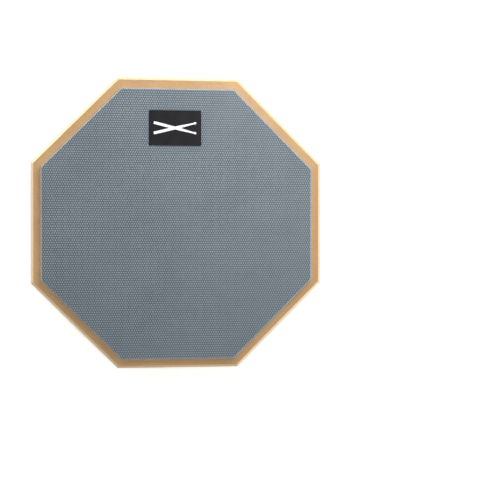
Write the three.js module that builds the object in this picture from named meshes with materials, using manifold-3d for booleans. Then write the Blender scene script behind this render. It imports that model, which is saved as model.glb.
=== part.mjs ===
// Octagonal drum practice pad: a rubber playing sheet glued to a fibreboard base, with a sponge disc
// and a threaded insert for a stand underneath. Millimetres, +Z up. The playing surface faces up, the
// label is on its +Y side, and the origin is at the centre of the face that the pad rests on.

import * as THREE from 'three';
import { mergeVertices } from 'three/addons/utils/BufferGeometryUtils.js';
import Module from 'manifold-3d';

const wasm = await Module();
wasm.setup();

// Thickness of each layer, from the resting face up
const basePadThickness = 3;
const adhesiveThickness = 0.25;
const boardThickness = 12;
const playingSheetThickness = 4;
const labelThickness = 0.5;
const printThickness = 0.25;

// Octagonal base board, across flats
const boardWidth = 240;
const frontChamfer = 2.25;
const backChamfer = 1.25;

// Rubber playing sheet, across flats, with its cut edge sloping in at the top. It is glued on by
// hand, a little off the board's centre.
const playingSheetWidth = 223;
const playingSheetBevel = 0.75;
const playingAdhesiveWidth = 222;
const playingSheetCentre = new THREE.Vector2(-0.25, -1);

// Sponge disc on the back
const basePadDiameter = 218;
const basePadHole = 18;
const basePadEdge = 0.5;
const baseAdhesiveDiameter = 217;

// Flanged, hex-drive insert with an M8 thread
const flangeDiameter = 17;
const flangeThickness = 1.5;
const flangeBevel = 0.5;
const barrelLength = 10;
const barrelDiameter = 14.5;
const barrelRootDiameter = 12.8;
const woodThreadStart = 1.5;
const woodThreadPitch = 2;
const woodThreadTurns = 4;
const woodThreadCrest = 0.3;
const barrelLeadIn = 0.6;
const hexAcrossFlats = 10;
const hexDepth = 4.5;
const hexEntryBevel = 0.3;
const threadMinorDiameter = 6.7;
const threadCountersink = 0.75;

// Blind hole in the board: the insert's barrel keeps a gap to it all round and at its end
const insertHoleGap = 0.3;
const insertHoleEndGap = 0.75;

// Label and its print, a pair of crossed drumsticks
const labelWidth = 43;
const labelHeight = 29;
const labelCorner = 0.75;
const labelCentre = new THREE.Vector2(-2.75, 78);
const stickLength = 36;
const stickButtWidth = 2.2;
const stickNeckWidth = 1;
const stickTaperStart = 0.6;
const stickBeadLength = 2.6;
const stickBeadWidth = 1.8;
const stickTurn = THREE.MathUtils.degToRad(14);

const boardSides = 8;
const hexSides = 6;
const discSegments = 96;
const insertSegments = 48;
const beadSegments = 16;
const cornerSegments = 4;
const cutMargin = 1;

// Heights of the faces where the layers meet
const boardBottom = basePadThickness + adhesiveThickness;
const boardTop = boardBottom + boardThickness;
const playingSheetBottom = boardTop + adhesiveThickness;
const playingSheetTop = playingSheetBottom + playingSheetThickness;
const labelTop = playingSheetTop + labelThickness;
const flangeBottom = boardBottom - flangeThickness;
const barrelTop = boardBottom + barrelLength;
const socketFloor = flangeBottom + hexDepth;

// Turns a closed outline of [radius, height] points about Z
function turned(outline, segments, firstAngle = 0) {
  const points = outline.map(([radius, height]) => new THREE.Vector2(radius, height));
  const geometry = new THREE.LatheGeometry(points, segments, firstAngle);
  geometry.rotateX(Math.PI / 2);
  return geometry;
}

// A prism with flat sides, from [width across flats, height] points that run from the bottom up
function flatSided(steps, sides, firstAngle) {
  const cornerFactor = 1 / Math.cos(Math.PI / sides);
  const outline = steps.map(([width, height]) => [width / 2 * cornerFactor, height]);
  const lowest = [0, steps[0][1]];
  const highest = [0, steps.at(-1)[1]];
  return turned([lowest, ...outline, highest], sides, firstAngle);
}

function octagon(steps) {
  return flatSided(steps, boardSides, Math.PI / boardSides);
}

// A flat ring of square section
function ring(outerDiameter, innerDiameter, bottom, top) {
  const outline = [
    [innerDiameter / 2, bottom],
    [outerDiameter / 2, bottom],
    [outerDiameter / 2, top],
    [innerDiameter / 2, top],
    [innerDiameter / 2, bottom],
  ];
  return turned(outline, discSegments);
}

// Merges a geometry's shared vertices, drops its empty triangles and gives the solid for cutting
function solidOf(geometry) {
  const bare = geometry.clone();
  bare.deleteAttribute('normal');
  bare.deleteAttribute('uv');
  const merged = mergeVertices(bare);
  const corners = merged.index.array;
  const faces = [];
  for (let i = 0; i < corners.length; i += 3) {
    const [a, b, c] = corners.slice(i, i + 3);
    if (a !== b && b !== c && c !== a) {
      faces.push(a, b, c);
    }
  }
  return new wasm.Manifold(new wasm.Mesh({
    numProp: 3,
    vertProperties: merged.attributes.position.array,
    triVerts: new Uint32Array(faces),
  }));
}

function geometryOf(solid) {
  const mesh = solid.getMesh();
  const geometry = new THREE.BufferGeometry();
  geometry.setAttribute('position', new THREE.BufferAttribute(mesh.vertProperties, mesh.numProp));
  geometry.setIndex(new THREE.BufferAttribute(mesh.triVerts, 1));
  geometry.computeVertexNormals();
  return geometry;
}

function namedPiece(name, geometry, color, roughness, metalness) {
  const material = new THREE.MeshStandardMaterial({ color, roughness, metalness });
  const mesh = new THREE.Mesh(geometry, material);
  mesh.name = name;
  return mesh;
}

// Fibreboard octagon with a wide chamfer on its front edge and a blind hole for the insert
function baseBoard() {
  const plate = octagon([
    [boardWidth - 2 * backChamfer, boardBottom],
    [boardWidth, boardBottom + backChamfer],
    [boardWidth, boardTop - frontChamfer],
    [boardWidth - 2 * frontChamfer, boardTop],
  ]);
  const holeRadius = barrelDiameter / 2 + insertHoleGap;
  const hole = turned([
    [0, boardBottom - cutMargin],
    [holeRadius, boardBottom - cutMargin],
    [holeRadius, barrelTop + insertHoleEndGap],
    [0, barrelTop + insertHoleEndGap],
  ], insertSegments);
  const board = solidOf(plate).subtract(solidOf(hole));
  return namedPiece('base_board', geometryOf(board), 0xc79f6c, 0.6, 0);
}

// Rubber sheet that the sticks strike
function playingSurface() {
  const sheet = octagon([
    [playingSheetWidth, playingSheetBottom],
    [playingSheetWidth, playingSheetTop - playingSheetBevel],
    [playingSheetWidth - 2 * playingSheetBevel, playingSheetTop],
  ]);
  sheet.translate(playingSheetCentre.x, playingSheetCentre.y, 0);
  return namedPiece('playing_surface', sheet, 0x7d8790, 0.65, 0);
}

function playingSurfaceAdhesive() {
  const film = octagon([
    [playingAdhesiveWidth, boardTop],
    [playingAdhesiveWidth, playingSheetBottom],
  ]);
  film.translate(playingSheetCentre.x, playingSheetCentre.y, 0);
  return namedPiece('playing_surface_adhesive', film, 0xcdb98a, 0.4, 0);
}

// Sponge disc that the pad rests on, its edges slightly broken where it was cut
function basePad() {
  const outer = basePadDiameter / 2;
  const inner = basePadHole / 2;
  const disc = turned([
    [inner, 0],
    [outer - basePadEdge, 0],
    [outer, basePadEdge],
    [outer, basePadThickness],
    [inner, basePadThickness],
    [inner, 0],
  ], discSegments);
  return namedPiece('base_pad', disc, 0x131313, 0.95, 0);
}

function basePadAdhesive() {
  const film = ring(baseAdhesiveDiameter, basePadHole, basePadThickness, boardBottom);
  return namedPiece('base_pad_adhesive', film, 0xcdb98a, 0.4, 0);
}

// Outside of the insert from the flange's face up, with its coarse wood thread as plain ridges
function insertOutside() {
  const flangeRadius = flangeDiameter / 2;
  const rootRadius = barrelRootDiameter / 2;
  const crestRadius = barrelDiameter / 2;
  const flank = crestRadius - rootRadius;
  const outline = [
    [flangeRadius - flangeBevel, flangeBottom],
    [flangeRadius, flangeBottom + flangeBevel],
    [flangeRadius, boardBottom],
    [rootRadius, boardBottom],
  ];
  for (let turn = 0; turn < woodThreadTurns; turn += 1) {
    const middle = boardBottom + woodThreadStart + turn * woodThreadPitch;
    outline.push(
      [rootRadius, middle - woodThreadCrest / 2 - flank],
      [crestRadius, middle - woodThreadCrest / 2],
      [crestRadius, middle + woodThreadCrest / 2],
      [rootRadius, middle + woodThreadCrest / 2 + flank],
    );
  }
  outline.push(
    [rootRadius, barrelTop - barrelLeadIn],
    [rootRadius - barrelLeadIn, barrelTop],
  );
  return outline;
}

// Zinc-plated insert: flange, barrel, hex socket with a bevelled mouth, and a bore for the thread
function threadedInsert() {
  const outside = insertOutside();
  const body = turned([[0, flangeBottom], ...outside, [0, barrelTop]], insertSegments);
  const socket = flatSided([
    [hexAcrossFlats + 2 * (hexEntryBevel + cutMargin), flangeBottom - cutMargin],
    [hexAcrossFlats, flangeBottom + hexEntryBevel],
    [hexAcrossFlats, socketFloor],
  ], hexSides, 0);
  const boreRadius = threadMinorDiameter / 2;
  const bore = turned([
    [0, socketFloor - cutMargin],
    [boreRadius + threadCountersink + cutMargin, socketFloor - cutMargin],
    [boreRadius, socketFloor + threadCountersink],
    [boreRadius, barrelTop + cutMargin],
    [0, barrelTop + cutMargin],
  ], insertSegments);
  const insert = solidOf(body).subtract(solidOf(socket)).subtract(solidOf(bore));
  return namedPiece('threaded_insert', geometryOf(insert), 0xd6d6d8, 0.3, 0.9);
}

function roundedRectangle(width, height, corner) {
  const shape = new THREE.Shape();
  const x = width / 2 - corner;
  const y = height / 2 - corner;
  const quarter = Math.PI / 2;
  shape.absarc(x, y, corner, 0, quarter);
  shape.absarc(-x, y, corner, quarter, 2 * quarter);
  shape.absarc(-x, -y, corner, 2 * quarter, 3 * quarter);
  shape.absarc(x, -y, corner, 3 * quarter, 4 * quarter);
  return shape;
}

function labelPlate() {
  const outline = roundedRectangle(labelWidth, labelHeight, labelCorner);
  const plate = new THREE.ExtrudeGeometry(outline, {
    depth: labelThickness,
    bevelEnabled: false,
    curveSegments: cornerSegments,
  });
  plate.translate(labelCentre.x, labelCentre.y, playingSheetTop);
  return namedPiece('label', plate, 0x2a2a2f, 0.4, 0);
}

// One drumstick lying along X: a straight shaft, a taper to the neck and an oval bead
function drumstick() {
  const butt = -stickLength / 2;
  const tip = stickLength / 2;
  const taper = butt + stickTaperStart * stickLength;
  const beadCentre = tip - stickBeadLength / 2;
  const shaft = new THREE.Shape([
    new THREE.Vector2(butt, -stickButtWidth / 2),
    new THREE.Vector2(taper, -stickButtWidth / 2),
    new THREE.Vector2(beadCentre, -stickNeckWidth / 2),
    new THREE.Vector2(beadCentre, stickNeckWidth / 2),
    new THREE.Vector2(taper, stickButtWidth / 2),
    new THREE.Vector2(butt, stickButtWidth / 2),
  ]);
  const bead = new THREE.Shape();
  bead.absellipse(beadCentre, 0, stickBeadLength / 2, stickBeadWidth / 2, 0, 2 * Math.PI);
  const options = { depth: printThickness, bevelEnabled: false, curveSegments: beadSegments };
  const parts = [shaft, bead].map((shape) => solidOf(new THREE.ExtrudeGeometry(shape, options)));
  return geometryOf(parts[0].add(parts[1]));
}

// Generic print: two drumsticks crossed at a shallow angle, tips to the right
function labelPrint() {
  const sticks = [stickTurn, -stickTurn].map((turn) => {
    const stick = drumstick();
    stick.rotateZ(turn);
    stick.translate(labelCentre.x, labelCentre.y, labelTop);
    return solidOf(stick);
  });
  return namedPiece('label_print', geometryOf(sticks[0].add(sticks[1])), 0xf2f2f2, 0.5, 0);
}

const group = new THREE.Group();
group.add(
  baseBoard(),
  playingSurface(),
  playingSurfaceAdhesive(),
  basePad(),
  basePadAdhesive(),
  threadedInsert(),
  labelPlate(),
  labelPrint(),
);

export default group;
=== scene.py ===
import math

import bmesh
import bpy
from mathutils import Matrix, Vector


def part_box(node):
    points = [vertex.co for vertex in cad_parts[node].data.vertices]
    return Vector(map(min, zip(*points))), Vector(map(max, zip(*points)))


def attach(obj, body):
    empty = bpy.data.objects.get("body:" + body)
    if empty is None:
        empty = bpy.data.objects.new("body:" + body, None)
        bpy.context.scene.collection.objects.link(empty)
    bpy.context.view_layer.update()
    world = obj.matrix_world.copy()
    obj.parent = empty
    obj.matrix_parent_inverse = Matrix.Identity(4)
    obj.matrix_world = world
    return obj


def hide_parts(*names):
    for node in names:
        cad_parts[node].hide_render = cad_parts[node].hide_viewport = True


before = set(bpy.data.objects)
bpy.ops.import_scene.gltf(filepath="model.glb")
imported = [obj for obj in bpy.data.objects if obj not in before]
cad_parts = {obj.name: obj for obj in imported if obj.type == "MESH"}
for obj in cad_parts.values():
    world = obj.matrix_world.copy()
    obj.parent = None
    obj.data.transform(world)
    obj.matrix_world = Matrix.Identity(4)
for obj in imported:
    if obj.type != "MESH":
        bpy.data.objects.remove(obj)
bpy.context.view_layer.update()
print("frame loaded:", ", ".join(sorted(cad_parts)))

mm = 0.001
# an octagon's width across corners over its width across flats
flatsToCorners = 1 / math.cos(math.pi / 8)


# --- small helpers for modelling ---

def activate(piece):
    bpy.ops.object.select_all(action="DESELECT")
    piece.select_set(True)
    bpy.context.view_layer.objects.active = piece


def settle(name):
    # names the new primitive and moves its place, turn and size into its mesh
    piece = bpy.context.object
    piece.name = name
    piece.data.name = name
    activate(piece)
    bpy.ops.object.transform_apply(location=True, rotation=True, scale=True)
    return piece


def startEdit(piece):
    activate(piece)
    bpy.ops.object.mode_set(mode="EDIT")
    bpy.ops.mesh.select_mode(type="VERT")
    bpy.ops.mesh.select_all(action="DESELECT")


def endEdit(tidy=False):
    if tidy:
        bpy.ops.mesh.select_all(action="SELECT")
        bpy.ops.mesh.remove_doubles(threshold=0.002 * mm)
        bpy.ops.mesh.normals_make_consistent(inside=False)
    bpy.ops.object.mode_set(mode="OBJECT")


def pick(piece, kind, test):
    # in edit mode, selects only the faces, edges or corners that pass the test
    bpy.ops.mesh.select_mode(type=kind)
    bpy.ops.mesh.select_all(action="DESELECT")
    shape = bmesh.from_edit_mesh(piece.data)
    parts = {"FACE": shape.faces, "EDGE": shape.edges, "VERT": shape.verts}[kind]
    for part in parts:
        if test(part):
            part.select_set(True)
    shape.select_flush_mode()
    bmesh.update_edit_mesh(piece.data)


def near(a, b, gap=0.01 * mm):
    return abs(a - b) < gap


def atHeight(height):
    # a test for edges and faces that lie at that height
    return lambda part: all(near(corner.co.z, height) for corner in part.verts)


def addModifier(piece, kind, **settings):
    activate(piece)
    bpy.ops.object.modifier_add(type=kind)
    modifier = piece.modifiers[-1]
    for name, value in settings.items():
        setattr(modifier, name, value)
    bpy.ops.object.modifier_apply(modifier=modifier.name)


def combine(piece, tool, operation):
    # joins or cuts with another piece, which is used up
    addModifier(piece, "BOOLEAN", operation=operation, object=tool, solver="EXACT")
    bpy.data.objects.remove(tool)


def roundEdges(piece, width, segments=3, angle=25):
    addModifier(piece, "BEVEL", width=width, segments=segments, limit_method="ANGLE",
                angle_limit=math.radians(angle), use_clamp_overlap=True)


def smooth(piece, angle=35, weighted=True):
    activate(piece)
    bpy.ops.object.shade_smooth_by_angle(angle=math.radians(angle))
    if weighted:
        addModifier(piece, "WEIGHTED_NORMAL", mode="FACE_AREA", weight=100, keep_sharp=True)


def drawOutline(name, points):
    # one corner that is extruded from point to point
    bpy.ops.mesh.primitive_plane_add(size=mm, location=points[0])
    piece = settle(name)
    startEdit(piece)
    bpy.ops.mesh.select_all(action="SELECT")
    bpy.ops.mesh.merge(type="CENTER")
    for here, there in zip(points, points[1:]):
        step = Vector(there) - Vector(here)
        bpy.ops.mesh.extrude_vertices_move(TRANSFORM_OT_translate={"value": step})
    endEdit()
    return piece


def spinOutline(name, outline, steps):
    # a round solid from (radius, height) points that start and end on the axis
    piece = drawOutline(name, [(radius, 0, height) for radius, height in outline])
    startEdit(piece)
    bpy.ops.mesh.select_all(action="SELECT")
    bpy.ops.mesh.spin(steps=steps, angle=2 * math.pi, center=(0, 0, 0), axis=(0, 0, 1))
    endEdit(tidy=True)
    return piece


def threadedRod(name, size):
    # a round rod with a screw thread on it, cut flat at both ends
    flank = size["crest"] - size["root"]
    turns = math.ceil((size["high"] - size["low"]) / size["pitch"]) + 2
    start = size["low"] - size["pitch"]
    steps = (
        (size["root"], 0),
        (size["root"], size["pitch"] - size["crestWidth"] - 2 * flank * size["slope"]),
        (size["crest"], size["pitch"] - size["crestWidth"] - flank * size["slope"]),
        (size["crest"], size["pitch"] - flank * size["slope"]),
        (size["root"], size["pitch"]),
    )
    rod = drawOutline(name, [(radius, 0, start + height) for radius, height in steps])
    addModifier(rod, "SCREW", angle=2 * math.pi, screw_offset=size["pitch"], iterations=turns,
                steps=size["segments"], render_steps=size["segments"], axis="Z",
                use_merge_vertices=True, merge_threshold=0.005 * mm)
    for height, normal in ((size["low"], -1), (size["high"], 1)):
        startEdit(rod)
        bpy.ops.mesh.select_all(action="SELECT")
        bpy.ops.mesh.bisect(plane_co=(0, 0, height), plane_no=(0, 0, normal),
                            use_fill=True, clear_outer=True)
        endEdit(tidy=True)
    return rod


def finishPiece(piece, node, material):
    piece.data.materials.clear()
    piece.data.materials.append(material)
    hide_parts(node)
    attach(piece, "root")
    print("made", piece.name, "with", len(piece.data.polygons), "faces")


# --- small helpers for materials ---

# A value or colour inside a material. Sums on values add Math nodes.
class Wire:
    def __init__(self, shader, socket):
        self.shader = shader
        self.socket = socket

    def math(self, operation, *others):
        node = self.shader.add("Math", {"operation": operation})
        for i, value in enumerate((self, *others)):
            self.shader.plug(node.inputs[i], value)
        return Wire(self.shader, node.outputs[0])

    def __add__(self, other):
        return self.math("ADD", other)

    def __sub__(self, other):
        return self.math("SUBTRACT", other)

    def __mul__(self, other):
        return self.math("MULTIPLY", other)

    def __truediv__(self, other):
        return self.math("DIVIDE", other)

    def __rsub__(self, other):
        return (self * -1) + other

    __radd__ = __add__
    __rmul__ = __mul__

    def atLeast(self, other):
        return self.math("MAXIMUM", other)

    def atMost(self, other):
        return self.math("MINIMUM", other)

    def size(self):
        return self.math("ABSOLUTE")


class Shader:
    def __init__(self, name):
        self.material = bpy.data.materials.new(name)
        self.material.use_nodes = True
        self.tree = self.material.node_tree
        self.tree.nodes.clear()
        self.surface = self.add("BsdfPrincipled")
        output = self.add("OutputMaterial")
        self.tree.links.new(self.surface.outputs[0], output.inputs["Surface"])
        self.object = Wire(self, self.add("TexCoord").outputs["Object"])

    # any node: its type, its settings, then the values or links of its sockets
    def add(self, kind, settings=None, sockets=None):
        node = self.tree.nodes.new("ShaderNode" + kind)
        for name, value in (settings or {}).items():
            setattr(node, name, value)
        for name, value in (sockets or {}).items():
            self.plug(node.inputs[name], value)
        return node

    def plug(self, target, value):
        if isinstance(value, Wire):
            self.tree.links.new(value.socket, target)
        elif isinstance(value, tuple) and len(value) == 3 and target.type == "RGBA":
            target.default_value = (*value, 1)
        else:
            target.default_value = value

    def axes(self, vector=None):
        parts = self.add("SeparateXYZ", sockets={"Vector": vector or self.object})
        return [Wire(self, parts.outputs[i]) for i in range(3)]

    # the object's own coordinates, stretched and turned about Z
    def place(self, scale=(1, 1, 1), turn=0):
        sockets = {"Vector": self.object, "Scale": scale, "Rotation": (0, 0, math.radians(turn))}
        return Wire(self, self.add("Mapping", sockets=sockets).outputs[0])

    def noise(self, grain, detail=3, roughness=0.5, vector=None):
        # grain is the size of the spots, in metres
        sockets = {"Vector": vector or self.object, "Scale": 1 / grain, "Detail": detail,
                   "Roughness": roughness}
        return Wire(self, self.add("TexNoise", sockets=sockets).outputs["Fac"])

    def cells(self, grain, vector=None):
        sockets = {"Vector": vector or self.object, "Scale": 1 / grain}
        return Wire(self, self.add("TexVoronoi", sockets=sockets).outputs["Distance"])

    def fade(self, value, low, high):
        # 0 below low and 1 above high, soft between, and the other way round if low is above high
        sockets = {"Value": value, "From Min": low, "From Max": high}
        node = self.add("MapRange", {"interpolation_type": "SMOOTHSTEP"}, sockets)
        return Wire(self, node.outputs[0])

    def blend(self, mask, first, second):
        # the first colour where the mask is 0, the second where it is 1
        node = self.add("Mix", {"data_type": "RGBA"})
        self.plug(node.inputs[0], mask)
        self.plug(node.inputs[6], first)
        self.plug(node.inputs[7], second)
        return Wire(self, node.outputs[2])

    def bump(self, height, depth, onTop=None):
        sockets = {"Height": height, "Distance": depth, "Strength": 1.0}
        if onTop:
            sockets["Normal"] = onTop
        return Wire(self, self.add("Bump", sockets=sockets).outputs[0])

    def finish(self, **sockets):
        names = {"color": "Base Color", "rough": "Roughness", "metal": "Metallic", "normal": "Normal",
                 "coat": "Coat Weight", "coatRough": "Coat Roughness", "specular": "Specular IOR Level"}
        for name, value in sockets.items():
            self.plug(self.surface.inputs[names[name]], value)
        return self.material


# --- camera and studio ---

studio = {
    "cameraPlace": (-0.058, -0.013, 0.908),
    "cameraAim": (0.060, -0.0225, 0.01525),
    "lens": 77.6,
    "sensor": 36.0,
    "clipStart": 0.01,
    "clipEnd": 50,
    "floorWidth": 3.0,
    "frontLength": 4.0,            # the room reaches further out on the side with no panel
    "glowFades": 2.5,              # out there its glow fades from this distance on
    "farGlow": (0.25, 0.25, 0.25),
    "wallHeight": 0.7,
    "paint": (0.86, 0.86, 0.86),
    "paintRough": 0.9,
    "floorGlow": 0.42,
    "wallGlow": 0.65,
    "skyGlow": 0.08,
    # place, width, height and power of each softbox: all aim at the pad
    "softboxes": {
        "keyLight": ((0.21, 0.30, 0.36), 0.26, 0.26, 1.75),
        "ceilingLight": ((0.01, -0.05, 1.00), 0.40, 0.40, 4.3),
        "leftPanel": ((-0.72, 0.45, 0.13), 0.60, 0.20, 4.4),
        "rightPanel": ((0.72, -0.42, 0.13), 0.60, 0.20, 2.8),
        "backPanel": ((0.00, 0.84, 0.13), 0.60, 0.20, 2.2),
    },
    "leavesNoHighlight": "ceilingLight",
}


def aimed(place, aim, up):
    # the turn that points an object's -Z from place to aim, with its Y towards up
    back = (Vector(place) - Vector(aim)).normalized()
    across = Vector(up).cross(back).normalized()
    return Matrix((across, back.cross(across), back)).transposed().to_euler()


def makeStudio():
    camera = bpy.data.objects.new("camera", bpy.data.cameras.new("camera"))
    camera.data.sensor_width = studio["sensor"]
    camera.data.lens = studio["lens"]
    camera.data.clip_start = studio["clipStart"]
    camera.data.clip_end = studio["clipEnd"]
    camera.location = studio["cameraPlace"]
    camera.rotation_euler = aimed(studio["cameraPlace"], studio["cameraAim"], (0, 1, 0))
    bpy.context.scene.collection.objects.link(camera)
    bpy.context.scene.camera = camera

    for name, (place, width, height, power) in studio["softboxes"].items():
        light = bpy.data.lights.new(name, "AREA")
        light.shape = "RECTANGLE"
        light.size = width
        light.size_y = height
        light.energy = power
        lamp = bpy.data.objects.new(name, light)
        lamp.location = place
        lamp.rotation_euler = aimed(place, (0, 0, 0), (0, 0, 1))
        lamp.visible_camera = False
        lamp.visible_glossy = name != studio["leavesNoHighlight"]
        bpy.context.scene.collection.objects.link(lamp)

    world = bpy.data.worlds.new("paleStudio")
    world.use_nodes = True
    background = world.node_tree.nodes["Background"]
    background.inputs["Color"].default_value = (1, 1, 1, 1)
    background.inputs["Strength"].default_value = studio["skyGlow"]
    bpy.context.scene.world = world
    bpy.context.scene.view_settings.view_transform = "Standard"

    # a floor with white walls round it
    middle = (studio["floorWidth"] / 2 - studio["frontLength"]) / 2
    length = studio["floorWidth"] / 2 + studio["frontLength"]
    for name in ("floor", "walls"):
        bpy.ops.mesh.primitive_plane_add(size=1, location=(0, middle, 0))
        bpy.context.object.scale = (studio["floorWidth"], length, 1)
        settle(name)
    floor, walls = bpy.data.objects["floor"], bpy.data.objects["walls"]
    startEdit(walls)
    bpy.ops.mesh.select_mode(type="EDGE")
    bpy.ops.mesh.select_all(action="SELECT")
    bpy.ops.mesh.extrude_edges_move(TRANSFORM_OT_translate={"value": (0, 0, studio["wallHeight"])})
    pick(walls, "FACE", lambda face: abs(face.normal.z) > 0.9)
    bpy.ops.mesh.delete(type="FACE")
    endEdit()
    for piece, glow in ((floor, studio["floorGlow"]), (walls, studio["wallGlow"])):
        paint = Shader(piece.name + "White")
        x, y, z = paint.axes()
        far = paint.fade(y, -studio["glowFades"], -studio["frontLength"])
        paint.plug(paint.surface.inputs["Emission Color"], paint.blend(far, (1, 1, 1), studio["farGlow"]))
        paint.surface.inputs["Emission Strength"].default_value = glow
        piece.data.materials.append(paint.finish(color=studio["paint"], rough=studio["paintRough"]))
    print("camera, lights and studio are set")


makeStudio()


# --- base board ---

board = {
    "frontChamfer": 2.25 * mm,
    "backChamfer": 1.25 * mm,
    "edgeRound": 0.3 * mm,
    "holeRadius": 7.55 * mm,
    "holeTop": 14.0 * mm,
    "holeSegments": 64,
    "fibreSize": 0.7 * mm,
    "fibreTurns": (15, 75, 135),   # degrees
    "coat": 0.24,                  # roughness of the sealer on the front and the chamfers
    # colours: the sealed front, the raw back, the routed side walls, the sealed chamfers
    "sealedDark": (0.500, 0.305, 0.137),
    "sealedPale": (0.550, 0.347, 0.162),
    "sealedFibre": (0.40, 0.205, 0.085),
    "sealedMottle": (0.36, 0.185, 0.075),
    "sealedSpeck": (0.30, 0.15, 0.06),
    "sealedRim": (0.36, 0.19, 0.07),
    "rawDark": (0.37, 0.256, 0.109),
    "rawPale": (0.58, 0.424, 0.214),
    "rawFibre": (0.34, 0.23, 0.095),
    "rawLint": (0.64, 0.49, 0.30),
    "rawSpeck": (0.19, 0.12, 0.045),
    "corePale": (0.46, 0.31, 0.165),
    "coreDark": (0.40, 0.26, 0.13),
    "coreMottle": (0.385, 0.235, 0.11),
    "coreSkin": (0.36, 0.22, 0.10),
    "coreSpeck": (0.25, 0.14, 0.06),
    "chamferPale": (0.58, 0.385, 0.17),
    "chamferDark": (0.52, 0.34, 0.145),
    "chamferLint": (0.45, 0.29, 0.13),
    # painted shade, near black, for the insert's hole and the ring of back face round it
    "holeShade": (0.016, 0.011, 0.007),
}


def fibreboardMaterial():
    low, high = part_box("base_board")
    paint = Shader("fibreboard")
    x, y, z = paint.axes()

    # half the width across flats of the octagon that runs through each point
    flats = x.size().atLeast(y.size()).atLeast((x.size() + y.size()) * math.sqrt(0.5))
    faceEdge = high.x - board["frontChamfer"]

    # where each point lies: the front face, the back face, or one of the two chamfers
    front = paint.fade(z, high.z - 0.12 * mm, high.z - 0.02 * mm)
    back = paint.fade(z, low.z + 0.12 * mm, low.z + 0.02 * mm)
    frontStart = high.z - board["frontChamfer"]
    backStart = low.z + board["backChamfer"]
    chamfer = paint.fade(z, frontStart - 0.1 * mm, frontStart + 0.1 * mm)
    chamfer = chamfer + paint.fade(z, backStart + 0.1 * mm, backStart - 0.1 * mm)
    chamfer = chamfer * (1 - front) * (1 - back)

    # cloudy tone, wood fibres lying in three directions, dark specks and pale lint
    cloud = paint.noise(28 * mm, 3, 0.55)
    mottle = paint.noise(1.5 * mm, 4, 0.7)
    fibreSets = []
    for turn in board["fibreTurns"]:
        fibreSets.append(paint.noise(board["fibreSize"], 3, 0.6, paint.place((0.25, 1, 1), turn)))
    fibres = (fibreSets[0] + fibreSets[1] + fibreSets[2]) / 3
    specks = paint.fade(paint.noise(1.0 * mm, 2, 0.7), 0.60, 0.68)
    lint = paint.fade(paint.noise(0.5 * mm, 2, 0.6, paint.place((0.3, 1, 1), 50)), 0.60, 0.70)

    # the front is sealed and even, the back is raw and speckled
    sealed = paint.blend(paint.fade(cloud, 0.35, 0.7), board["sealedDark"], board["sealedPale"])
    sealed = paint.blend(paint.fade(fibres, 0.42, 0.6) * 0.3, sealed, board["sealedFibre"])
    sealed = paint.blend(paint.fade(mottle, 0.45, 0.7) * 0.35, sealed, board["sealedMottle"])
    sealed = paint.blend(specks * 0.25, sealed, board["sealedSpeck"])
    rim = paint.fade(flats, faceEdge - 0.75 * mm, faceEdge - 0.1 * mm)
    sealed = paint.blend(rim * 0.4, sealed, board["sealedRim"])

    raw = paint.blend(paint.fade(mottle, 0.38, 0.62), board["rawDark"], board["rawPale"])
    raw = paint.blend(paint.fade(fibres, 0.4, 0.6) * 0.4, raw, board["rawFibre"])
    raw = paint.blend(lint * 0.45, raw, board["rawLint"])
    raw = paint.blend(specks * 0.7, raw, board["rawSpeck"])
    # painted shade in and round the insert's hole, on every face but the front
    holeShadeMask = paint.fade((x * x + y * y).math("SQRT"), 9.8 * mm, 9.2 * mm)

    # the side walls show the core, darker towards the pressed skins
    middle = (low.z + high.z) / 2
    skin = paint.fade((z - middle).size(), 2.5 * mm, 6.0 * mm)
    core = paint.blend(paint.fade(fibres, 0.38, 0.62), board["corePale"], board["coreDark"])
    core = paint.blend(paint.fade(mottle, 0.42, 0.66) * 0.5, core, board["coreMottle"])
    core = paint.blend(skin * 0.35, core, board["coreSkin"])
    core = paint.blend(specks * 0.4, core, board["coreSpeck"])
    sloped = paint.blend(paint.fade(fibres, 0.38, 0.62), board["chamferPale"], board["chamferDark"])
    sloped = paint.blend(lint * 0.2, sloped, board["chamferLint"])

    color = paint.blend(chamfer, core, sloped)
    color = paint.blend(front, color, sealed)
    color = paint.blend(back, color, raw)
    color = paint.blend(holeShadeMask * (1 - front), color, board["holeShade"])
    rough = 0.82 - front * 0.30 - chamfer * 0.44 + (fibres - 0.5) * 0.2
    relief = paint.noise(0.35 * mm, 3, 0.65) * (1 - front * 0.8) + fibres * 0.6
    return paint.finish(color=color, rough=rough, normal=paint.bump(relief, 0.06 * mm), specular=0.7,
                        coat=front + chamfer, coatRough=board["coat"])


def makeBoard():
    low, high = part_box("base_board")
    centre = (low + high) / 2
    bpy.ops.mesh.primitive_cylinder_add(vertices=8, radius=high.x * flatsToCorners, depth=high.z - low.z,
                                        location=centre, rotation=(0, 0, math.pi / 8))
    piece = settle("fibreboardBase")
    startEdit(piece)
    for height, width in ((high.z, board["frontChamfer"]), (low.z, board["backChamfer"])):
        pick(piece, "EDGE", atHeight(height))
        bpy.ops.mesh.bevel(offset=width, offset_type="OFFSET", segments=1, affect="EDGES")
    endEdit(tidy=True)
    roundEdges(piece, board["edgeRound"])

    depth = board["holeTop"] - low.z + mm
    bpy.ops.mesh.primitive_cylinder_add(vertices=board["holeSegments"], radius=board["holeRadius"],
                                        depth=depth, location=(0, 0, board["holeTop"] - depth / 2))
    combine(piece, settle("insertHole"), "DIFFERENCE")
    smooth(piece)
    finishPiece(piece, "base_board", fibreboardMaterial())


makeBoard()


# --- playing surface ---

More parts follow.
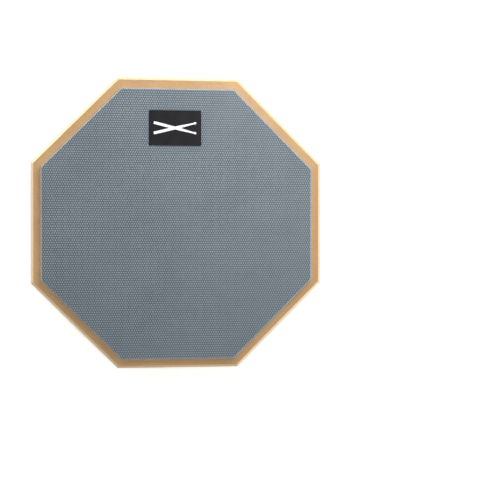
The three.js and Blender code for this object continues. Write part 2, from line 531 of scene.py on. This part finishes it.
sheet = {
    "dotPitch": 1.9 * mm,          # across a row
    "rowPitch": 1.9 * mm,          # alternate rows are shifted by half a dot
    "dotHeight": 0.3 * mm,
    "dotSlope": 0.45 * mm,         # how far each dot's flank runs in from its cell's edge
    "dottedWidth": 221.2 * mm,     # across flats, where the dots stop
    "rimWidth": 221.6 * mm,        # across flats, where the cut edge starts to slope down
    "cutSlope": 0.6 * mm,
    # painted shade: the valleys between the dots are far darker than the crowns
    "valleyShadeDark": (0.024, 0.033, 0.041),
    "valleyShadePale": (0.029, 0.039, 0.048),
    "crownDark": (0.195, 0.235, 0.270),
    "crownPale": (0.215, 0.257, 0.293),
    "dust": (0.26, 0.29, 0.31),
    "cutDark": (0.20, 0.23, 0.25),
    "cutPale": (0.255, 0.28, 0.295),
}


def sheetCentre():
    low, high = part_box("playing_surface")
    return (low + high) / 2


def rubberMaterial():
    low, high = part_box("playing_surface")
    centre = sheetCentre()
    paint = Shader("playingRubber")
    x, y, z = paint.axes()
    across = (x - centre.x).size()
    along = (y - centre.y).size()
    flats = across.atLeast(along).atLeast((across + along) * math.sqrt(0.5))

    crown = paint.fade(z, high.z - 0.9 * sheet["dotHeight"], high.z - 0.1 * sheet["dotHeight"])
    onTop = paint.fade(z, high.z - 1.2 * sheet["dotHeight"], high.z - 1.1 * sheet["dotHeight"])
    dotted = onTop * paint.fade(flats, sheet["dottedWidth"] / 2 + 0.1 * mm, sheet["dottedWidth"] / 2)
    cloud = paint.noise(35 * mm, 3, 0.5)
    dust = paint.noise(2.2 * mm, 4, 0.7)

    # painted shade darkens the valleys between the dots
    shadedValley = paint.blend(paint.fade(cloud, 0.3, 0.7), sheet["valleyShadeDark"], sheet["valleyShadePale"])
    crownColor = paint.blend(paint.fade(cloud, 0.3, 0.7), sheet["crownDark"], sheet["crownPale"])
    color = paint.blend(crown, shadedValley, crownColor)
    color = paint.blend(paint.fade(dust, 0.5, 0.75) * 0.15, color, sheet["dust"])
    edge = paint.blend(paint.fade(dust, 0.35, 0.65), sheet["cutDark"], sheet["cutPale"])
    color = paint.blend(1 - dotted, color, edge)
    rough = 0.55 - crown * 0.08 + (dust - 0.5) * 0.15
    fine = paint.noise(0.12 * mm, 2, 0.6) + paint.noise(0.5 * mm, 3, 0.6)
    return paint.finish(color=color, rough=rough, normal=paint.bump(fine, 0.02 * mm), specular=0.7)


def makeDotTile(top):
    # two staggered hexagonal cells, each raised to a dot
    bpy.ops.mesh.primitive_circle_add(vertices=6, radius=mm, fill_type="NGON",
                                      location=(0, 0, top - sheet["dotHeight"]))
    tile = settle("dottedSheet")
    startEdit(tile)
    bpy.ops.mesh.select_all(action="SELECT")
    acrossScale = sheet["dotPitch"] / (2 * mm * math.cos(math.pi / 6))
    alongScale = sheet["rowPitch"] * 2 / 3 / mm
    bpy.ops.transform.resize(value=(acrossScale, alongScale, 1))
    bpy.ops.mesh.inset(thickness=sheet["dotSlope"], depth=0)
    bpy.ops.transform.translate(value=(0, 0, sheet["dotHeight"]))
    bpy.ops.mesh.select_all(action="SELECT")
    bpy.ops.mesh.duplicate_move(
        TRANSFORM_OT_translate={"value": (sheet["dotPitch"] / 2, sheet["rowPitch"], 0)})
    endEdit(tidy=True)
    return tile


def makeSheet():
    low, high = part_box("playing_surface")
    centre = sheetCentre()
    piece = makeDotTile(high.z)
    columns = math.ceil(sheet["dottedWidth"] / sheet["dotPitch"]) + 2
    rows = math.ceil(sheet["dottedWidth"] / (2 * sheet["rowPitch"])) + 2
    startEdit(piece)
    bpy.ops.mesh.select_all(action="SELECT")
    corner = (centre.x - columns * sheet["dotPitch"] / 2, centre.y - rows * sheet["rowPitch"], 0)
    bpy.ops.transform.translate(value=corner)
    endEdit()
    for count, step in ((columns, (sheet["dotPitch"], 0, 0)), (rows, (0, 2 * sheet["rowPitch"], 0))):
        addModifier(piece, "ARRAY", count=count, use_relative_offset=False, use_constant_offset=True,
                    constant_offset_displace=step, use_merge_vertices=True, merge_threshold=0.01 * mm)

    # trimmed to the octagon
    startEdit(piece)
    for side in range(8):
        angle = side * math.pi / 4
        outward = Vector((math.cos(angle), math.sin(angle), 0))
        edge = centre + outward * sheet["dottedWidth"] / 2
        bpy.ops.mesh.select_all(action="SELECT")
        bpy.ops.mesh.bisect(plane_co=edge, plane_no=outward, clear_outer=True)

    # a smooth margin, the sloping cut edge, the wall and the underside
    def rim(scale, height):
        bpy.ops.mesh.extrude_edges_move()
        bpy.ops.transform.resize(value=(scale, scale, 0), center_override=(centre.x, centre.y, height))

    bpy.ops.mesh.select_all(action="DESELECT")
    bpy.ops.mesh.select_mode(type="EDGE")
    bpy.ops.mesh.select_non_manifold(extend=False, use_wire=False, use_boundary=True,
                                     use_multi_face=False, use_non_contiguous=False, use_verts=False)
    marginHeight = high.z - 0.5 * sheet["dotHeight"]
    rim(sheet["rimWidth"] / sheet["dottedWidth"], marginHeight)
    rim((high.x - low.x) / sheet["rimWidth"], marginHeight - sheet["cutSlope"])
    rim(1, low.z)
    bpy.ops.mesh.edge_face_add()
    endEdit(tidy=True)
    smooth(piece, angle=80, weighted=False)
    finishPiece(piece, "playing_surface", rubberMaterial())


makeSheet()


# --- label and its print ---

label = {
    "corner": 0.75 * mm,
    "borderWidth": 0.6 * mm,       # less than the corner's radius
    "borderHeight": 0.08 * mm,
    "edgeRound": 0.06 * mm,
    "dark": (0.0100, 0.0095, 0.0115),
    "pale": (0.0130, 0.0120, 0.0145),
    "border": (0.004, 0.004, 0.005),
}

drumsticks = {
    "length": 36 * mm,
    "buttWidth": 2.2 * mm,
    "neckWidth": 1.0 * mm,
    "taperStart": 0.6,             # share of the length that is straight
    "beadLength": 2.6 * mm,
    "beadWidth": 1.8 * mm,
    "turn": math.radians(14),
    "edgeRound": 0.05 * mm,
    "white": (0.90, 0.90, 0.90),
    # the colour of the print where it is worn
    "wearAndHighlight": (0.62, 0.62, 0.63),
}


def labelMaterial():
    low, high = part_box("label")
    paint = Shader("labelBlack")
    x, y, z = paint.axes()
    fromSide = (x - (low.x + high.x) / 2).size() - (high.x - low.x) / 2
    fromEnd = (y - (low.y + high.y) / 2).size() - (high.y - low.y) / 2
    toEdge = fromSide.atLeast(fromEnd) * -1
    border = paint.fade(toEdge, label["borderWidth"] + 0.15 * mm, label["borderWidth"] - 0.15 * mm)
    haze = paint.noise(9 * mm, 4, 0.6)
    grain = paint.noise(0.25 * mm, 3, 0.6)
    color = paint.blend(paint.fade(haze, 0.35, 0.7), label["dark"], label["pale"])
    color = paint.blend(border * 0.85, color, label["border"])
    rough = 0.42 + (haze - 0.5) * 0.25 + grain * 0.1
    return paint.finish(color=color, rough=rough, normal=paint.bump(grain, 0.01 * mm), specular=0.25)


def printMaterial():
    paint = Shader("printWhite")
    grain = paint.noise(0.2 * mm, 3, 0.6)
    wear = paint.fade(paint.noise(1.2 * mm, 4, 0.7), 0.66, 0.78)
    color = paint.blend(wear * 0.5, drumsticks["white"], drumsticks["wearAndHighlight"])
    return paint.finish(color=color, rough=0.45 + grain * 0.2, normal=paint.bump(grain, 0.01 * mm))


def makeLabel():
    low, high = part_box("label")
    centre = (low + high) / 2
    bpy.ops.mesh.primitive_plane_add(size=1, location=(centre.x, centre.y, low.z))
    bpy.context.object.scale = (high.x - low.x, high.y - low.y, 1)
    piece = settle("blackLabel")
    startEdit(piece)
    bpy.ops.mesh.select_all(action="SELECT")
    bpy.ops.mesh.bevel(offset=label["corner"], segments=8, affect="VERTICES")
    bpy.ops.mesh.select_all(action="SELECT")
    bpy.ops.mesh.extrude_region_move(TRANSFORM_OT_translate={"value": (0, 0, high.z - low.z)})
    pick(piece, "FACE", atHeight(high.z))
    bpy.ops.mesh.inset(thickness=label["borderWidth"], depth=0)
    bpy.ops.mesh.inset(thickness=label["borderHeight"], depth=0)
    bpy.ops.transform.translate(value=(0, 0, -label["borderHeight"]))
    endEdit(tidy=True)
    roundEdges(piece, label["edgeRound"], segments=2, angle=40)
    smooth(piece, angle=50)
    finishPiece(piece, "label", labelMaterial())


def makeDrumstick(low, high):
    # lies along X with its middle over the origin: a square butt, a straight shaft, a taper and a bead
    half = drumsticks["length"] / 2
    beadCentre = half - drumsticks["beadLength"] / 2
    taper = -half + drumsticks["taperStart"] * drumsticks["length"]
    bpy.ops.mesh.primitive_cube_add(size=1, location=((taper - half) / 2, 0, (low + high) / 2))
    bpy.context.object.scale = (taper + half, drumsticks["buttWidth"], high - low)
    stick = settle("drumstick")
    startEdit(stick)
    pick(stick, "FACE", lambda face: face.normal.x > 0.9)
    bpy.ops.mesh.extrude_region_move(TRANSFORM_OT_translate={"value": (beadCentre - taper, 0, 0)})
    slimming = drumsticks["neckWidth"] / drumsticks["buttWidth"]
    bpy.ops.transform.resize(value=(1, slimming, 1), center_override=(beadCentre, 0, 0))
    endEdit(tidy=True)
    bpy.ops.mesh.primitive_cylinder_add(vertices=40, radius=0.5, depth=high - low,
                                        location=(beadCentre, 0, (low + high) / 2))
    bpy.context.object.scale = (drumsticks["beadLength"], drumsticks["beadWidth"], 1)
    combine(stick, settle("bead"), "UNION")
    return stick


def makePrint():
    low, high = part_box("label_print")
    labelLow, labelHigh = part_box("label")
    centre = (labelLow + labelHigh) / 2
    sink = label["borderHeight"]                   # the print lies on the sunken field
    sticks = []
    for turn in (drumsticks["turn"], -drumsticks["turn"]):
        stick = makeDrumstick(low.z - sink, high.z - sink)
        stick.rotation_euler.z = turn
        stick.location = (centre.x, centre.y, 0)
        activate(stick)
        sticks.append(settle("crossedDrumsticks"))
    combine(sticks[0], sticks[1], "UNION")
    roundEdges(sticks[0], drumsticks["edgeRound"], segments=2, angle=50)
    smooth(sticks[0], angle=40)
    finishPiece(sticks[0], "label_print", printMaterial())


makeLabel()
makePrint()


# --- sponge disc under the board ---

sponge = {
    "holeRadius": 9 * mm,
    "segments": 256,
    "rings": 14,
    "edgeRound": 0.5 * mm,
    "cutWobble": 0.35 * mm,         # how far the hand-cut edge wanders, before it is evened out
    "evening": 3,
    "black": (0.0038, 0.0038, 0.0038),
    "pale": (0.0050, 0.0050, 0.0051),
    # painted shade for the foam's pits
    "inPores": (0.0015, 0.0015, 0.0015),
    "lint": (0.05, 0.05, 0.05),
}


def spongeMaterial():
    paint = Shader("spongeBlack")
    pores = paint.cells(0.32 * mm)
    finePores = paint.cells(0.15 * mm)
    cloud = paint.noise(30 * mm, 3, 0.5)
    lint = paint.fade(paint.noise(0.8 * mm, 3, 0.7, paint.place((0.35, 1, 1), 30)), 0.72, 0.82)
    color = paint.blend(paint.fade(cloud, 0.3, 0.7), sponge["black"], sponge["pale"])
    # painted shade darkens the pits of the foam
    color = paint.blend(paint.fade(pores, 0.3, 0.05), color, sponge["inPores"])
    color = paint.blend(lint * 0.15, color, sponge["lint"])
    relief = paint.fade(pores, 0.0, 0.5) * 0.6 + paint.fade(finePores, 0.0, 0.5) * 0.4
    return paint.finish(color=color, rough=0.75, specular=0.12, normal=paint.bump(relief, 0.04 * mm))


def makeSponge():
    low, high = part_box("base_pad")
    outer, inner = high.x, sponge["holeRadius"]
    bpy.ops.mesh.primitive_circle_add(vertices=sponge["segments"], radius=outer - 0.3 * mm,
                                      fill_type="NOTHING", location=(0, 0, high.z))
    piece = settle("spongeDisc")
    startEdit(piece)
    bpy.ops.mesh.select_all(action="SELECT")
    bpy.ops.transform.vertex_random(offset=sponge["cutWobble"], uniform=1.0, normal=0, seed=4)
    bpy.ops.mesh.vertices_smooth(factor=0.5, repeat=sponge["evening"])
    bpy.ops.transform.resize(value=(1, 1, 0), center_override=(0, 0, high.z))

    # rings inwards to the hole, then down
    bpy.ops.mesh.select_mode(type="EDGE")
    for ring in range(1, sponge["rings"] + 1):
        before = outer + (inner - outer) * (ring - 1) / sponge["rings"]
        after = outer + (inner - outer) * ring / sponge["rings"]
        bpy.ops.mesh.extrude_edges_move()
        bpy.ops.transform.resize(value=(after / before, after / before, 1), center_override=(0, 0, 0))
    bpy.ops.mesh.select_all(action="SELECT")
    bpy.ops.mesh.extrude_region_move(TRANSFORM_OT_translate={"value": (0, 0, low.z - high.z)})
    endEdit(tidy=True)
    roundEdges(piece, sponge["edgeRound"], segments=3, angle=50)
    smooth(piece, angle=60)
    finishPiece(piece, "base_pad", spongeMaterial())


makeSponge()


# --- glue films ---

glue = {
    "streakLength": 6 * mm,
    "grain": 0.6 * mm,
    "amber": (0.52, 0.42, 0.25),
    "pale": (0.64, 0.54, 0.35),
}


def glueMaterial():
    paint = Shader("glueFilm")
    streaks = paint.noise(glue["streakLength"], 4, 0.6)
    grain = paint.noise(glue["grain"], 3, 0.6)
    color = paint.blend(paint.fade(streaks, 0.35, 0.7), glue["amber"], glue["pale"])
    return paint.finish(color=color, rough=0.35 + grain * 0.2, normal=paint.bump(grain, 0.03 * mm))


def paintGlue():
    material = glueMaterial()
    for node in ("playing_surface_adhesive", "base_pad_adhesive"):
        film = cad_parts[node]
        film.data.materials.clear()
        film.data.materials.append(material)


paintGlue()


# --- threaded insert ---

insert = {
    "flangeThickness": 1.5 * mm,
    "flangeRound": 0.45 * mm,
    "hexAcrossFlats": 10 * mm,
    "hexDepth": 4.5 * mm,
    "mouthBevel": 0.3 * mm,
    "steps": 72,
    "barrelRoot": 6.4 * mm,
    "floorLip": 4.15 * mm,         # radius of the countersink where the inner thread starts
    "highlightRing": 4.6 * mm,          # radius of a painted highlight ring on the socket's floor
    "dark": (0.84, 0.84, 0.85),
    "pale": (0.92, 0.915, 0.90),
    "scratch": (0.66, 0.66, 0.67),
    # painted shade for the inside of the socket and the bore
    "insideShade": (0.035, 0.033, 0.032),
    # colour of the painted highlight ring on the socket's floor
    "wearAndHighlight": (0.62, 0.60, 0.60),
}

woodThread = {
    "root": 6.35 * mm,
    "crest": 7.2 * mm,
    "pitch": 2.2 * mm,
    "crestWidth": 0.25 * mm,
    "slope": 0.6,                  # height of a flank over its depth
    "segments": 48,
}

rodThread = {
    "root": 3.35 * mm,
    "crest": 4.0 * mm,
    "pitch": 1.25 * mm,
    "crestWidth": 0.15 * mm,
    "slope": 0.577,
    "segments": 48,
}


def zincMaterial():
    low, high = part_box("threaded_insert")
    paint = Shader("platedZinc")
    cloud = paint.noise(3.5 * mm, 4, 0.6)
    grain = paint.noise(0.18 * mm, 3, 0.6)
    scratches = paint.fade(paint.noise(0.5 * mm, 3, 0.6, paint.place((0.08, 1, 1), 35)), 0.62, 0.72)
    color = paint.blend(paint.fade(cloud, 0.35, 0.7), insert["dark"], insert["pale"])
    color = paint.blend(scratches * 0.4, color, insert["scratch"])

    # painted shade inside the socket and the bore, but for a painted highlight ring on the socket's floor
    x, y, z = paint.axes()
    radius = (x * x + y * y).math("SQRT")
    socketFloor = low.z + insert["hexDepth"]
    # painted shade: the socket's walls and the bore are darkened deeper than about a millimetre in
    inside = paint.fade(radius, 5.9 * mm, 5.6 * mm) * paint.fade(z, low.z + 0.4 * mm, low.z + 1.2 * mm)
    # painted highlight: a bright ring on the socket's floor, where the countersink's lip would catch the
    # light
    wearAndHighlight = paint.fade((radius - insert["highlightRing"]).size(), 0.35 * mm, 0.2 * mm)
    wearAndHighlight = wearAndHighlight * paint.fade((z - socketFloor).size(), 0.3 * mm, 0.1 * mm)
    color = paint.blend(inside * 0.93, color, insert["insideShade"])
    color = paint.blend(wearAndHighlight * 0.8, color, insert["wearAndHighlight"])
    rough = 0.32 + cloud * 0.14 + scratches * 0.12
    relief = grain * 0.5 + scratches * 0.5
    return paint.finish(color=color, metal=0.88, rough=rough, normal=paint.bump(relief, 0.005 * mm))


def makeInsert():
    low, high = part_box("threaded_insert")
    radius = high.x
    flangeTop = low.z + insert["flangeThickness"]
    rounding = insert["flangeRound"]
    arc = []
    for step in range(5):
        angle = step * math.pi / 8
        across = radius - rounding + rounding * math.sin(angle)
        arc.append((across, low.z + rounding - rounding * math.cos(angle)))
    flange = spinOutline("threadedInsert", [
        (0, low.z), *arc, (radius, flangeTop - 0.1 * mm), (radius - 0.1 * mm, flangeTop),
        (insert["barrelRoot"], flangeTop), (insert["barrelRoot"], flangeTop + 0.8 * mm),
        (0, flangeTop + 0.8 * mm),
    ], insert["steps"])

    barrel = threadedRod("barrel", {**woodThread, "low": flangeTop - 0.5 * mm, "high": high.z})
    combine(flange, barrel, "UNION")

    # hexagonal socket, with its mouth flared a little
    socketFloor = low.z + insert["hexDepth"]
    depth = insert["hexDepth"] + mm
    corner = insert["hexAcrossFlats"] / 2 / math.cos(math.pi / 6)
    flare = insert["mouthBevel"]
    bpy.ops.mesh.primitive_cylinder_add(vertices=6, radius=corner, depth=depth,
                                        location=(0, 0, socketFloor - depth / 2))
    combine(flange, settle("hexSocket"), "DIFFERENCE")
    bpy.ops.mesh.primitive_cone_add(vertices=6, radius1=corner + 2 * flare, radius2=corner,
                                    depth=2 * flare, location=(0, 0, low.z))
    combine(flange, settle("flare"), "DIFFERENCE")

    # the bore with its inner thread and countersink
    bore = threadedRod("bore", {**rodThread, "low": socketFloor - mm, "high": high.z + mm})
    combine(flange, bore, "DIFFERENCE")
    lip = insert["floorLip"]
    sink = spinOutline("countersink", [
        (0, socketFloor - 0.5 * mm), (lip + 0.5 * mm, socketFloor - 0.5 * mm),
        (lip - mm, socketFloor + mm), (0, socketFloor + mm),
    ], insert["steps"])
    combine(flange, sink, "DIFFERENCE")
    startEdit(flange)
    endEdit(tidy=True)
    smooth(flange, angle=30)
    finishPiece(flange, "threaded_insert", zincMaterial())


makeInsert()
